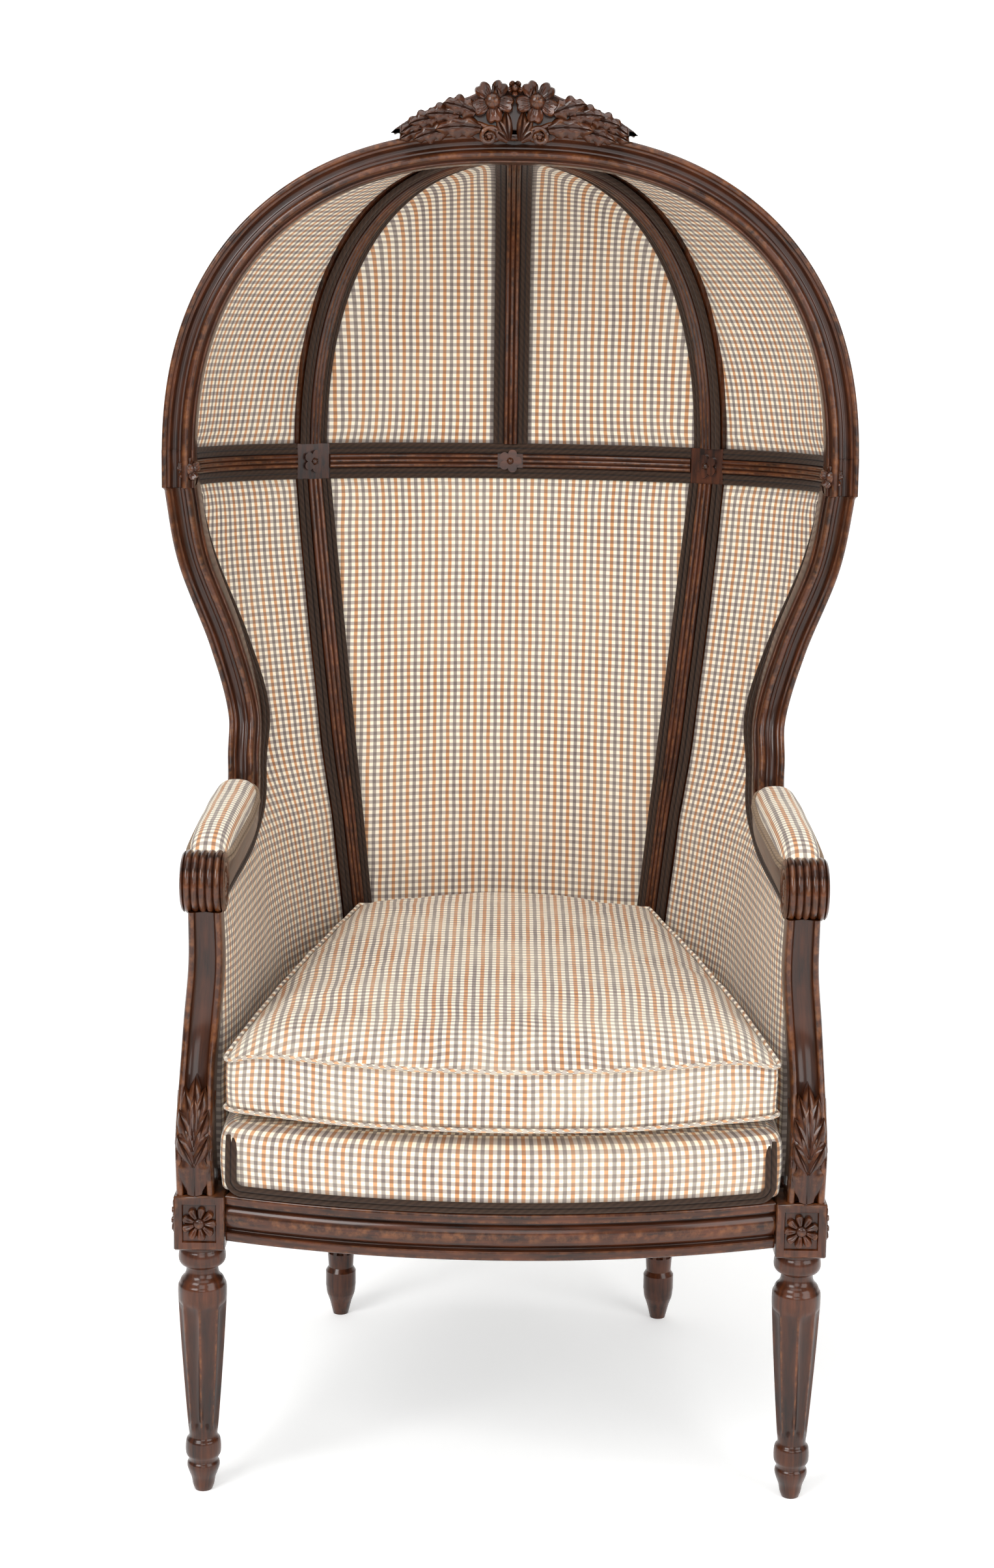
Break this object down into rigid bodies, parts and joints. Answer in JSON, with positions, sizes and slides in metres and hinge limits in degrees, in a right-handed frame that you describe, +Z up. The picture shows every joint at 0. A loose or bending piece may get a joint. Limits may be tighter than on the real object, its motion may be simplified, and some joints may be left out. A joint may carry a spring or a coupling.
{
  "type": "hall porter chair",
  "caption": "Canopied armchair: carved dark wood frame, domed hood, winged back, checked upholstered panels, padded arms, turned legs and a loose box cushion.",
  "frame": {"origin": "on the floor, under the middle of the chair's overall width and depth", "axes": "+Z up; the chair faces -Y; +X to the viewer's right when looking at its front"},
  "size_m": [0.86, 0.7473, 1.6301],
  "materials": {
    "walnut": "dark polished walnut, worn at the edges",
    "beech": "plain unpolished wood",
    "gingham": "checked cotton of cream, rust and taupe",
    "welt": "dark brown double cord",
    "outer_cloth": "plain grey brown linen",
    "webbing": "woven jute webbing",
    "dust_cloth": "thin black cotton"
  },
  "bodies": {
    "frame": {"apron_welt": "welt", "back_panel": "gingham", "back_seat_rail": "walnut", "bottom_cloth": "dust_cloth", "centre_rib_welts": "welt", "corner_blocks": "beech", "crest_carving": "walnut", "front_seat_rail": "walnut", "hood_centre_rib": "walnut", "left_arm_pad": "gingham", "left_arm_rail": "walnut", "left_arm_support": "walnut", "left_back_post": "walnut", "left_front_leg": "walnut", "left_hood_arch": "walnut", "left_hood_back_panel": "gingham", "left_hood_rib": "walnut", "left_hood_rib_welts": "welt", "left_hood_side_panel": "gingham", "left_outer_hood_cover": "outer_cloth", "left_outer_side_cover": "outer_cloth", "left_ring_corner": "walnut", "left_ring_rail": "walnut", "left_ring_welts": "welt", "left_seat_rail": "walnut", "left_side_panel": "gingham", "left_stile_welts": "welt", "left_wing_block": "walnut", "left_wing_stile": "walnut", "outer_back_cover": "outer_cloth", "right_arm_pad": "gingham", "right_arm_rail": "walnut", "right_arm_support": "walnut", "right_back_post": "walnut", "right_front_leg": "walnut", "right_hood_arch": "walnut", "right_hood_back_panel": "gingham", "right_hood_rib": "walnut", "right_hood_rib_welts": "welt", "right_hood_side_panel": "gingham", "right_outer_hood_cover": "outer_cloth", "right_outer_side_cover": "outer_cloth", "right_ring_corner": "walnut", "right_ring_rail": "walnut", "right_ring_welts": "welt", "right_seat_rail": "walnut", "right_side_panel": "gingham", "right_stile_welts": "welt", "right_wing_block": "walnut", "right_wing_stile": "walnut", "ring_back_rail": "walnut", "ring_back_welts": "welt", "seat_deck": "gingham", "seat_webbing": "webbing"},
    "cushion": {"seat_cushion": "gingham"}
  },
  "joints": [
    {"name": "cushion_draw_out", "type": "slide", "parent": "frame", "child": "cushion", "axis": [0, -1, 0], "range_m": [0, 0.62]}
  ]
}
